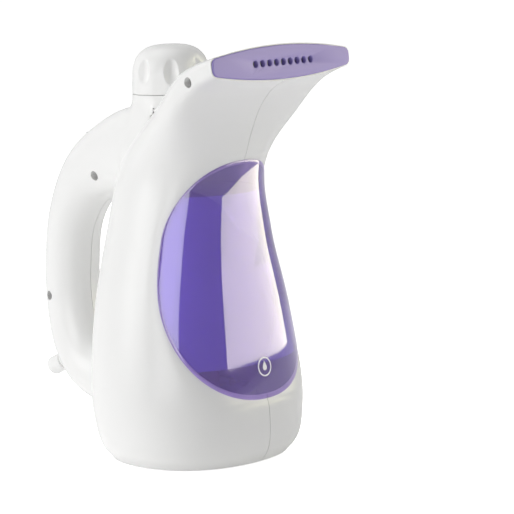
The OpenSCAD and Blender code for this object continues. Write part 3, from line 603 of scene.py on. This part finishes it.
# -------------------------------------------------------------------- operators
class STEAMER_OT_stage(bpy.types.Operator):
    """Floor, studio lights and camera"""
    bl_idname = "steamer.stage"
    bl_label = "Stage"

    def execute(self, context):
        scene = context.scene
        self.camera(scene)
        self.floor(context)
        self.lights(scene)
        return {"FINISHED"}

    def camera(self, scene):
        """A long lens at the steamer's front quarter, a little above it and rolled slightly."""
        azimuth, elevation, roll = math.radians(44), math.radians(8.2), math.radians(-2)
        distance = 1.4
        target = Vector((0, 0, 0.115))
        back = Vector((math.sin(azimuth) * math.cos(elevation),
                       -math.cos(azimuth) * math.cos(elevation), math.sin(elevation)))
        right = Vector((math.cos(azimuth), math.sin(azimuth), 0))
        up = back.cross(right)
        right, up = (right * math.cos(roll) + up * math.sin(roll),
                     up * math.cos(roll) - right * math.sin(roll))
        aside, above = 0.02786, 0.003
        look = (-back + right * aside + up * above).normalized()
        right = (right - look * right.dot(look)).normalized()
        up = right.cross(look)
        data = bpy.data.cameras.new("camera")
        data.sensor_width = 36
        data.lens = 163.4
        data.clip_end = 100
        camera = bpy.data.objects.new("camera", data)
        camera.matrix_world = Matrix((right, up, -look)).transposed().to_4x4()
        camera.location = target + back * distance
        scene.collection.objects.link(camera)
        scene.camera = camera

    def floor(self, context):
        """A wide pale floor that curves up into a wall behind."""
        start, bend, near, top = 2.6, 1.2, -3.0, 5.0
        curve = [(start + bend * math.sin(a), bend - bend * math.cos(a))
                 for a in np.linspace(0, math.pi / 2, 24)]
        sweep = [(near, 0.0)] + curve + [(start + bend, top)]
        across = np.linspace(-7, 7, 7)
        turn = Matrix.Rotation(math.radians(44 + 90), 3, "Z")
        verts = [turn @ Vector((d, s, z)) for d, z in sweep for s in across]
        m = len(across)
        faces = [(i * m + k, i * m + k + 1, (i + 1) * m + k + 1, (i + 1) * m + k)
                 for i in range(len(sweep) - 1) for k in range(m - 1)]
        floor = new_object("floor", verts, faces)
        colour = sizes(context, "finishes").floor
        # Lit from behind, as a translucent studio table is
        acrylic = textured("studio_table_acrylic_matt", colour, 0.003, 3.0, 0.01,
                           {"Roughness": 0.9, "Specular IOR Level": 0.1,
                            "Emission Color": (1, 1, 1, 1)})
        tree = acrylic.node_tree
        shader = next(n for n in tree.nodes if n.type == "BSDF_PRINCIPLED")
        path = node(tree, "ShaderNodeLightPath", {}, {})
        glow = node(tree, "ShaderNodeMapRange", {"To Min": 0.16, "To Max": 0.72},
                    {"Value": path.outputs["Is Camera Ray"]})
        tree.links.new(glow.outputs["Result"], shader.inputs["Emission Strength"])
        floor.data.materials.append(acrylic)

    def lights(self, scene):
        """Soft panels for a key, a top and a fill, and two cards that only gloss shows."""
        scene.view_settings.view_transform = "Standard"
        world = bpy.data.worlds.new("studio")
        world.use_nodes = True
        tree = world.node_tree
        tree.nodes.clear()
        glow = node(tree, "ShaderNodeBackground", {"Color": (1, 1, 1, 1), "Strength": 0.24}, {})
        node(tree, "ShaderNodeOutputWorld", {}, {"Surface": glow.outputs[0]})
        scene.world = world
        aim = (0, 0, 0.13)
        white, warm = (1, 1, 1), (1, 0.97, 0.66)
        # name, place, aimed at, roll, size, power, colour, and whether only gloss or matt shows it
        panels = (
            ("key", (-0.75, -1.45, 0.7), aim, 0, (1.0, 1.2), 14.0, white, None),
            ("top", (-0.35, -0.1, 1.7), aim, 0, (1.3, 1.3), 10.5, white, None),
            ("fill", (1.28, 0.92, 0.42), aim, 0, (1.3, 1.3), 4.5, white, "matt"),
            ("side_card", (0.678, -1.559, 0.5), (0, 0, 0.5), 0, (1.0, 1.0), 11.0, white, "gloss"),
            ("near_card", (0.435, 0.318, 0.375), (-0.095, -0.532, 0.375), -4, (0.8, 0.62), 7.2,
             warm, "gloss"),
        )
        for name, where, at, roll, size, power_w, colour, only in panels:
            data = bpy.data.lights.new(name, "AREA")
            data.shape = "RECTANGLE"
            data.size, data.size_y = size
            data.energy, data.color = power_w, colour
            lamp = bpy.data.objects.new(name, data)
            lamp.location = where
            lamp.rotation_euler = (Vector(at) - Vector(where)).to_track_quat("-Z", "Y").to_euler()
            lamp.rotation_euler.rotate_axis("Z", math.radians(roll))
            lamp.visible_camera = False
            lamp.visible_diffuse = only != "gloss"
            lamp.visible_glossy = only != "matt"
            scene.collection.objects.link(lamp)


class STEAMER_OT_housing(bpy.types.Operator):
    """Both halves of the white housing, with the handle run softly into the body"""
    bl_idname = "steamer.housing"
    bl_label = "Housing"

    def execute(self, context):
        form = self.form(context)
        combine(form, self.cutters(context), "DIFFERENCE")
        combine(form, self.hollows(context), "DIFFERENCE")
        seam = sizes(context, "body").seam / 2
        for name, side in (("housing_right", -1), ("housing_left", 1)):
            half = copy_of(form, "shell_" + name[8:])
            nodes = (name, "filler_collar") if side == 1 else (name,)
            low, high = sorted((side * seam, side * FAR))
            corner = [(-FAR, low), (FAR, low), (FAR, high), (-FAR, high)]
            combine(half, [prism("side", corner, -FAR, 2 * FAR)], "INTERSECT")
            crisp(half, 38)
            finish_piece(context, half, "body", "shell", *nodes)
        bpy.data.objects.remove(form)
        return {"FINISHED"}

    def form(self, context):
        """The outside as one smooth solid, its creases softened."""
        b, cap = sizes(context, "body", "cap")
        body = loft("form", body_rings(context, 0, 176, 0.045, spare=5 * MM))
        grip = loft("grip", grip_rings(context, 0, 96, 0.09))
        axis = Matrix.Translation((-cap.back, 0, b.neck_height))
        rise = cap.collar_rise + 3 * MM
        collar = lathe("collar", [(cap.radius, 0), (cap.radius, rise)], 160, axis)
        fields = [Field(o) for o in (body, grip, collar)]
        combine(body, [grip, collar], "UNION")
        mod = body.modifiers.new("cells", "REMESH")
        mod.mode, mod.voxel_size = "VOXEL", b.cell * 1
        apply_modifiers(body)
        for v in body.data.vertices:
            p = v.co.copy()
            for _ in range(2):
                d, n = soft_union([f.at(p) for f in fields], b.blend)
                p -= n * (d + self.dip(context, p))
            v.co = p
        return body

    def dip(self, context, p):
        """How far the housing sinks towards the window's edge."""
        w, b = sizes(context, "window", "body")
        if p.x < w.back - 12 * MM or not w.bottom - 8 * MM < p.z < b.neck_height + 12 * MM:
            return 0.0
        top = window_top(context)
        z = min(max(p.z, w.bottom), top)
        slope = (window_edge(context, z + MM) - window_edge(context, z - MM)) / (2 * MM)
        away = (window_edge(context, z) - p.x) / math.hypot(1, slope)
        away = max(away, p.z - top, w.bottom - p.z)
        reach = 5.5 * MM
        return 0.9 * MM * (1 - min(max(away / reach, 0), 1)) ** 2

    def cutters(self, context):
        """Solids that trim the outside: foot, plate seat, window, collar, screws, switch, gland."""
        names = ("body", "cap", "handle", "head", "window")
        b, cap, h, head, w = sizes(context, *names)
        square = [(-FAR, -FAR), (FAR, -FAR), (FAR, FAR), (-FAR, FAR)]
        middle, facing, down = head_place(context)
        at_head = placed(middle, facing, down)
        seat = plate_outline(context, head.rim - 0.15 * MM, 180)
        made = [
            prism("below", square, -0.1, b.foot_gap),
            prism("ahead", [(x / 4, y / 2) for x, y in square], 0, 0.05, at_head),
            prism("seat", seat, head.proud - head.plate - MM, 0.02, at_head),
            window_prism(context, w.gap),
            lathe("cap_room", [(cap.radius + 1.2 * MM, 0), (cap.radius + 1.2 * MM, 0.05)], 96,
                  Matrix.Translation((-cap.back, 0, b.neck_height + cap.collar_rise))),
        ]
        for x, z, deep in screw_places(context):
            sink = placed(Vector((x, -deep, z)), (0, -1, 0), (1, 0, 0))
            made.append(lathe("screw_sink", [(h.screw_hole, 0), (h.screw_hole, 0.1)], 48, sink))
        made += switch_cutters(context)
        gland = gland_place(context)
        hole, seat = h.gland - 1.05 * MM, h.gland + SLIP
        made.append(lathe("gland_hole", [(hole, 0), (hole, 0.04)], 48, gland))
        made.append(lathe("gland_seat", [(seat, h.depth / 2 + 2.4 * MM), (seat, 0.04)], 48, gland))
        return made

    def hollows(self, context):
        """The inside of the housing: body, handle and filler bore, with posts for the screws."""
        b, cap = sizes(context, "body", "cap")
        bore = [(cap.collar_bore, -10 * MM), (cap.collar_bore, cap.collar_rise + 10 * MM)]
        made = [
            loft("hollow", body_rings(context, b.wall, 72, 0.1, spare=5.5 * MM)),
            loft("grip_hollow", grip_rings(context, b.wall, 40, 0.25)),
            lathe("bore", bore, 64, Matrix.Translation((-cap.back, 0, b.neck_height))),
        ]
        for hollow in made[:2]:
            posts = []
            r = sizes(context, "handle").screw_hole + 1.2 * MM
            for x, z, deep in screw_places(context):
                stand = placed(Vector((x, 0, z)), (0, -1, 0), (1, 0, 0))
                posts.append(lathe("post", [(r, deep - 3 * MM), (r, 0.1)], 40, stand))
            combine(hollow, posts, "DIFFERENCE")
        return made


def plate_outline(context, inset, sides):
    """Outline of the plate across the head, x down and y across."""
    h = sizes(context, "head")
    a = np.linspace(0, 2 * math.pi, sides, endpoint=False)
    v = power(np.sin(a), 2.4)
    u = np.minimum(blunt(context, v), np.abs(power(np.cos(a), 2.4)) * 4)
    return list(zip((h.thickness / 2 - inset) * np.sign(np.cos(a)) * u, (h.width / 2 - inset) * v))


def window_prism(context, grow):
    """A block in the window's side outline, pushed right through the body."""
    w, b = sizes(context, "window", "body")
    top = window_top(context)
    heights = np.linspace(w.bottom - grow, top + grow, 120)
    edge = [(window_edge(context, min(max(z, w.bottom), top)) - grow, z) for z in heights]
    outline = edge + [(b.belly_front + 0.03, heights[-1]), (b.belly_front + 0.03, heights[0])]
    turn = placed(Vector((0, 0, 0)), (0, -1, 0), (1, 0, 0))
    return prism("window_block", outline, -0.08, 0.08, turn)


def screw_places(context):
    """Housing screws: x, z and how deep the head's seat is from the middle plane."""
    body, head, handle = sizes(context, "body", "head", "handle")
    neck, arm = body.neck_height, handle.arm_height
    return [(head.reach - 20 * MM, neck + head.rise - 8.4 * MM, 9 * MM),
            (-62 * MM, neck - 9 * MM, 6 * MM),
            (-handle.reach - 4.5 * MM, mix(arm, neck, 0.37), 4 * MM)]


def leaning(x, z, degrees):
    """An axis in the middle plane, leaning from upright by degrees."""
    lean = math.radians(degrees)
    out, along_it = (math.sin(lean), 0, math.cos(lean)), (math.cos(lean), 0, -math.sin(lean))
    return placed(Vector((x, 0, z)), out, along_it)


def switch_place(context):
    """The switch's axis, square to the shoulder."""
    return leaning(-63 * MM, sizes(context, "body").neck_height - 0.5 * MM, -24)


def gland_place(context):
    """The gland's axis, back and down from the handle's lower bend."""
    h = sizes(context, "handle")
    return leaning(6 * MM - h.reach, h.arm_height + 15 * MM, -116)


def slot_outline(long, wide):
    """A rectangle with round ends."""
    r = wide / 2
    right = [(long / 2 - r + r * math.cos(a), r * math.sin(a))
             for a in np.linspace(-math.pi / 2, math.pi / 2, 17)]
    return right + [(-x, -y) for x, y in right]


def switch_cutters(context):
    """The thumb scoop and the stepped hole for the switch."""
    h = sizes(context, "handle")
    place = switch_place(context)
    top = h.shoulder - h.scoop_depth
    long, wide = h.bezel_length + SLIP, h.bezel_width + SLIP
    step, above = 2 * MM, 0.05
    bowl = [(h.scoop_radius * math.sin(a), top + h.scoop_radius * (1 - math.cos(a)))
            for a in np.linspace(0.002, 1.2, 40)]
    seat = top - h.bezel_sink
    return [lathe("scoop", bowl, 96, place),
            prism("switch_hole", slot_outline(long - step, wide - step), seat - 8 * MM, above,
                  place),
            prism("bezel_seat", slot_outline(long, wide), seat, above, place)]


class STEAMER_OT_window(bpy.types.Operator):
    """The tinted window and the water badge printed on it"""
    bl_idname = "steamer.window"
    bl_label = "Window"

    def execute(self, context):
        self.rows, self.context = stations(context), context
        w, body = sizes(context, "window", "body")
        gap, radius, wall = w.gap, w.edge, body.wall
        low = bisect(self.inside, 4.5, 2.0, 40)
        high = bisect(self.inside, 5.0, 7.0, 40)
        sides = 192
        middle = 0.5 * (low + high)
        edge = []
        for k in range(sides):
            a = 2 * math.pi * k / sides
            t = middle + 0.5 * (high - low) * math.cos(a)
            edge.append((self.edge_angle(t) * (1 if math.sin(a) >= 0 else -1), t))
        centre = self.point(0.0, middle)
        reach = np.array([np.linalg.norm(self.point(*e) - centre) for e in edge])
        # away from the edge and below the skin, round the rim
        rim = [(gap, radius), (gap + 0.07 * MM, radius * 0.62), (gap + 0.2 * MM, radius * 0.36),
               (gap + 0.45 * MM, radius * 0.13), (gap + radius, 0.0)]
        tip = 0.0015
        rings = []
        for share in (tip, 0.08, 0.16, 0.24, 0.32, 0.4, 0.48, 0.56, 0.64, 0.72, 0.79, 0.85, 0.9,
                      0.94, 0.97):
            rings.append([self.raised(e, middle, share, 0) for e in edge])
        for away, sink in reversed(rim):
            rings.append([self.raised(e, middle, 1 - away / r, -sink) for e, r in zip(edge, reach)])
        rings.append([self.raised(e, middle, 1 - gap / r, -wall) for e, r in zip(edge, reach)])
        for share in (0.9, 0.6, 0.3, tip):
            rings.append([self.raised(e, middle, share, -wall) for e in edge])
        cover = loft("window_pane", [np.array(r) for r in rings])
        crisp(cover, 60)
        finish_piece(context, cover, "body", "window", "window_cover")
        self.badge(context)
        return {"FINISHED"}

    def point(self, angle, t):
        """A point on the body's outside."""
        return section_point(self.context, along(self.rows, t), np.array(angle))

    def raised(self, edge, middle, share, lift):
        """A point part of the way from the window's middle to an edge point, off the skin."""
        angle, t = edge[0] * share, mix(middle, edge[1], share)
        p = self.point(angle, t)
        e = 1e-3
        across = self.point(angle + e, t) - self.point(angle - e, t)
        up = self.point(angle, t + e) - self.point(angle, t - e)
        n = np.cross(across, up)
        return p + n / np.linalg.norm(n) * lift

    def inside(self, t):
        """True if the middle of the front is within the window at station t."""
        p = self.point(0.0, t)
        bottom = sizes(self.context, "window").bottom
        return bottom < p[2] < window_top(self.context) and p[0] > window_edge(self.context, p[2])

    def edge_angle(self, t):
        """The angle round the body at which the window ends at station t."""
        def ahead(angle):
            p = self.point(angle, t)
            return p[0] > window_edge(self.context, p[2])
        return bisect(ahead, 0.0, 1.6, 36)

    def badge(self, context):
        """A ring with a water drop, printed low on the window."""
        size = sizes(context, "window").badge / 2
        front = self.point(0.0, 3.33)
        ring = [(math.cos(a) * size, math.sin(a) * size) for a in np.linspace(0, 2 * math.pi, 72)]
        band = 0.84
        drop = []
        for a in np.linspace(0, 2 * math.pi, 48):
            lean = math.sin(a / 2) ** 1.5
            drop.append((0.42 * size * math.sin(a) * lean, size * (0.12 + 0.5 * math.cos(a))))
        top, under = 0.06 * MM, -0.3 * MM

        def laid(outline, share, lift):
            return np.array([self.on_front(front, x * share, y * share, lift)
                             for x, y in outline[:-1]])
        pieces = (loft("badge_ring", [laid(ring, 1, top), laid(ring, band, top),
                                      laid(ring, band, under), laid(ring, 1, under)], closed=True),
                  loft("badge_drop", [laid(drop, 1, top), laid(drop, 1, under)]))
        for obj in pieces:
            crisp(obj, 40)
            finish_piece(context, obj, "body", "window", ink=material(context, "ink"))

    def on_front(self, front, x, y, lift):
        """A point of flat artwork laid on the front: x across and y up, in metres."""
        height = front[2] + y
        t = bisect(lambda at: self.point(0.0, at)[2] < height, 2.5, 5.5, 30)
        angle = math.copysign(1, x) * math.asin(min((abs(x) / along(self.rows, t)[4]) ** 1.1, 1))
        return self.point(angle, t) + np.array([1, 0, 0.1]) / math.hypot(1, 0.1) * lift


class STEAMER_OT_tank(bpy.types.Operator):
    """The water tank that shows through the window"""
    bl_idname = "steamer.tank"
    bl_label = "Water tank"

    def execute(self, context):
        b, w, cap = sizes(context, "body", "window", "cap")
        tank = self.block(context, 0)
        top, rim = b.neck_height - w.tank_drop, b.neck_height + cap.collar_rise + 12 * MM
        axis = Matrix.Translation((-cap.back, 0, 0))
        spout_axis = Matrix.Translation((12 * MM, 0, 0))
        spout_r, drain_r = 4 * MM, 2.6 * MM
        spout = [(spout_r, w.tank_floor - 8 * MM), (spout_r, w.tank_floor + MM)]
        combine(tank, [lathe("spout", spout, 40, spout_axis)], "UNION")
        drain = [(drain_r, w.tank_floor - 0.02), (drain_r, w.tank_floor + 0.01)]
        opening = [(cap.tube_bore, top - 5 * MM), (cap.tube_bore, top + 0.01)]
        combine(tank, [self.block(context, w.tank_wall), lathe("opening", opening, 96, axis),
                       lathe("drain", drain, 32, spout_axis)], "DIFFERENCE")
        tank.name = "tank_shell"
        crisp(tank, 34)
        finish_piece(context, tank, "body", "tank", "water_tank")
        self.neck(context, axis, top + 0.1 * MM, rim)
        return {"FINISHED"}

    def neck(self, context, axis, foot, rim):
        """The threaded filler tube, with a flange at its foot and one under the collar."""
        cap = sizes(context, "cap")
        r, wide, thick, ease = cap.tube, cap.collar_bore + 0.5 * MM, cap.flange, 0.4 * MM
        ledge = rim - 26.9 * MM
        profile = [(wide, foot), (wide, foot + thick), (r, foot + thick + ease), (r, ledge - ease),
                   (wide, ledge), (wide, ledge + thick), (r, ledge + thick + ease),
                   (r, rim - ease), (r - ease, rim)]
        neck = lathe("neck", profile, 120, axis)
        combine(neck, [self.thread(context)], "UNION")
        bore = [(cap.tube_bore, foot - 0.01), (cap.tube_bore, rim + 0.01)]
        combine(neck, [lathe("bore", bore, 96, axis)], "DIFFERENCE")
        neck.name = "filler_tube"
        crisp(neck, 40)
        finish_piece(context, neck, "body", "tank", "filler_neck")

    def block(self, context, inset):
        """The body's own form, drawn in and cut flat behind, above and below."""
        w, b = sizes(context, "window", "body")
        made = loft("tank", body_rings(context, b.wall + w.tank_gap + inset, 120, 0.06))
        back = inset - w.tank_back
        outline = [(back, -0.1), (0.1, -0.1), (0.1, 0.1), (back, 0.1)]
        return combine(made, [prism("cut", outline, w.tank_floor + inset,
                                    b.neck_height - w.tank_drop - inset)], "INTERSECT")

    def thread(self, context):
        """A raised thread of one and a half turns."""
        cap, b = sizes(context, "cap", "body")
        start = b.neck_height + cap.collar_rise + 2.5 * MM
        rings = []
        for a in np.linspace(0, 3 * math.pi, 97):
            fade = min(a, 3 * math.pi - a, 0.3) / 0.3
            out = Vector((math.cos(a), math.sin(a), 0))
            z = start + cap.thread_pitch * a / (2 * math.pi)
            root, crest = cap.tube - 0.5 * MM, cap.tube - 0.2 * MM + 1.25 * MM * fade
            section = [(root, -1.3), (crest, -0.35), (crest, 0.35), (root, 1.3)]
            rings.append(np.array([(-cap.back + out.x * r, out.y * r, z + dz * MM)
                                   for r, dz in section]))
        return loft("thread", rings)


class STEAMER_OT_plate(bpy.types.Operator):
    """The lilac steam plate with its row of holes"""
    bl_idname = "steamer.plate"
    bl_label = "Steam plate"

    def execute(self, context):
        h = sizes(context, "head")
        middle, facing, down = head_place(context)
        place = placed(middle, facing, down)
        edge = 0.7 * MM
        rings = []
        for k in range(5):
            a = math.pi / 2 * k / 4
            ring = plate_outline(context, h.rim + edge * (1 - math.cos(a)), 240)
            z = h.proud - edge * (1 - math.sin(a))
            rings.append(np.array([[x, y, z] for x, y in ring]))
        base = np.array([[x, y, h.proud - h.plate] for x, y in plate_outline(context, h.rim, 240)])
        plate = loft("plate_face", [base] + rings)
        plate.data.transform(place)
        holes = []
        for i in range(h.holes):
            across = (i - (h.holes - 1) / 2) * h.pitch
            r, rim = h.hole / 2, 0.35 * MM
            profile = [(r, -0.01), (r, h.proud - rim), (r + 0.12 * MM, h.proud - 0.12 * MM),
                       (r + rim, h.proud + 0.02 * MM), (r + rim, 0.01)]
            spot = place @ Matrix.Translation((0, across, 0))
            holes.append(lathe("hole", profile, 48, spot))
        combine(plate, holes, "DIFFERENCE")
        crisp(plate, 34)
        finish_piece(context, plate, "body", "plate", "steam_plate")
        return {"FINISHED"}


class STEAMER_OT_cap(bpy.types.Operator):
    """The domed filler cap with its finger scallops"""
    bl_idname = "steamer.cap"
    bl_label = "Filler cap"

    def execute(self, context):
        cap, b = sizes(context, "cap", "body")
        dome = 17 * MM
        skirt = cap.height - dome
        arc = [(cap.radius * math.cos(a) ** 0.62, skirt + dome * math.sin(a) ** 1.1)
               for a in np.linspace(0, math.pi / 2 - 0.01, 46)]
        outside = [(cap.radius - 0.5 * MM, 0), (cap.radius - 0.15 * MM, 0.15 * MM),
                   (cap.radius, 0.5 * MM)] \
            + [(cap.radius, z) for z in np.linspace(1 * MM, skirt - 0.3 * MM, 16)] + arc
        sides = 360
        angles = np.linspace(0, 2 * math.pi, sides, endpoint=False)
        rings = []
        for r, z in outside:
            depth = np.array([self.scallop(cap, a, z - skirt) for a in angles])
            rings.append(np.stack([(r - depth) * np.cos(angles), (r - depth) * np.sin(angles),
                                   np.full(sides, z)], -1))
        bore, top, ease = cap.radius - 6.2 * MM, 17.2 * MM, 0.4 * MM
        for r, z in ((bore, 0), (bore, 0.3 * MM), (bore, top - ease), (bore - ease, top)):
            circle = [r * np.cos(angles), r * np.sin(angles), np.full(sides, z)]
            rings.insert(0, np.stack(circle, -1))
        made = loft("cap_dome", rings)
        seam = 0.22 * MM
        base = b.neck_height + cap.collar_rise + seam
        made.data.transform(Matrix.Translation((-cap.back, 0, base)))
        crisp(made, 40)
        finish_piece(context, made, "cap", "shell", "filler_cap")
        return {"FINISHED"}

    def scallop(self, cap, angle, z):
        """Depth of the nearest finger scallop, an oval dish."""
        pitch = 2 * math.pi / cap.scallops
        half_width, half_height, middle = 4.6 * MM, 7.6 * MM, 1.6 * MM
        off = (angle + math.pi / 4 + pitch / 2) % pitch - pitch / 2
        across = off * cap.radius / half_width
        up = (z - middle) / half_height
        far = across * across + up * up
        return cap.scallop_depth * max(1 - far, 0) ** 1.1


class STEAMER_OT_fittings(bpy.types.Operator):
    """Finishes for the CAD pieces that stay as they are"""
    bl_idname = "steamer.fittings"
    bl_label = "Fittings"

    def execute(self, context):
        slots = {p["node"]: p["material_slot"] for p in frame["record"]["subparts"]}
        softened = ("power_rocker", "switch_bezel", "cord_gland", "foot_pad", "cap_liner",
                    "cap_seal")
        for name, obj in frame["nodes"].items():
            obj.data.materials.clear()
            obj.data.materials.append(material(context, slots[name]))
            crisp(obj)
            if name.startswith(softened):
                mod = obj.modifiers.new("soft_edges", "BEVEL")
                mod.width, mod.segments = 0.3 * MM, 2
                mod.limit_method, mod.angle_limit = "ANGLE", math.radians(40)
        return {"FINISHED"}


class STEAMER_PT_panel(bpy.types.Panel):
    """Buttons for each part of the steamer"""
    bl_idname = "STEAMER_PT_panel"
    bl_label = "Garment steamer"
    bl_space_type = "VIEW_3D"
    bl_region_type = "UI"
    bl_category = "Steamer"

    def draw(self, context):
        for operator in OPERATORS:
            self.layout.operator(operator.bl_idname)
        for name in GROUPS:
            group = getattr(context.scene, name)
            box = self.layout.box()
            for prop in group.__annotations__:
                box.prop(group, prop)


OPERATORS = (STEAMER_OT_stage, STEAMER_OT_fittings, STEAMER_OT_housing, STEAMER_OT_window,
             STEAMER_OT_tank, STEAMER_OT_plate, STEAMER_OT_cap)


def register():
    for cls in (*GROUPS.values(), *OPERATORS, STEAMER_PT_panel):
        bpy.utils.register_class(cls)
    for name, cls in GROUPS.items():
        setattr(bpy.types.Scene, name, PointerProperty(type=cls))


def unregister():
    for name in GROUPS:
        delattr(bpy.types.Scene, name)
    for cls in reversed((*GROUPS.values(), *OPERATORS, STEAMER_PT_panel)):
        bpy.utils.unregister_class(cls)


def main():
    """Builds everything in order."""
    register()
    bpy.ops.steamer.stage()
    bpy.ops.steamer.fittings()
    bpy.ops.steamer.housing()
    bpy.ops.steamer.window()
    bpy.ops.steamer.tank()
    bpy.ops.steamer.plate()
    bpy.ops.steamer.cap()


if __name__ == "__main__":
    main()
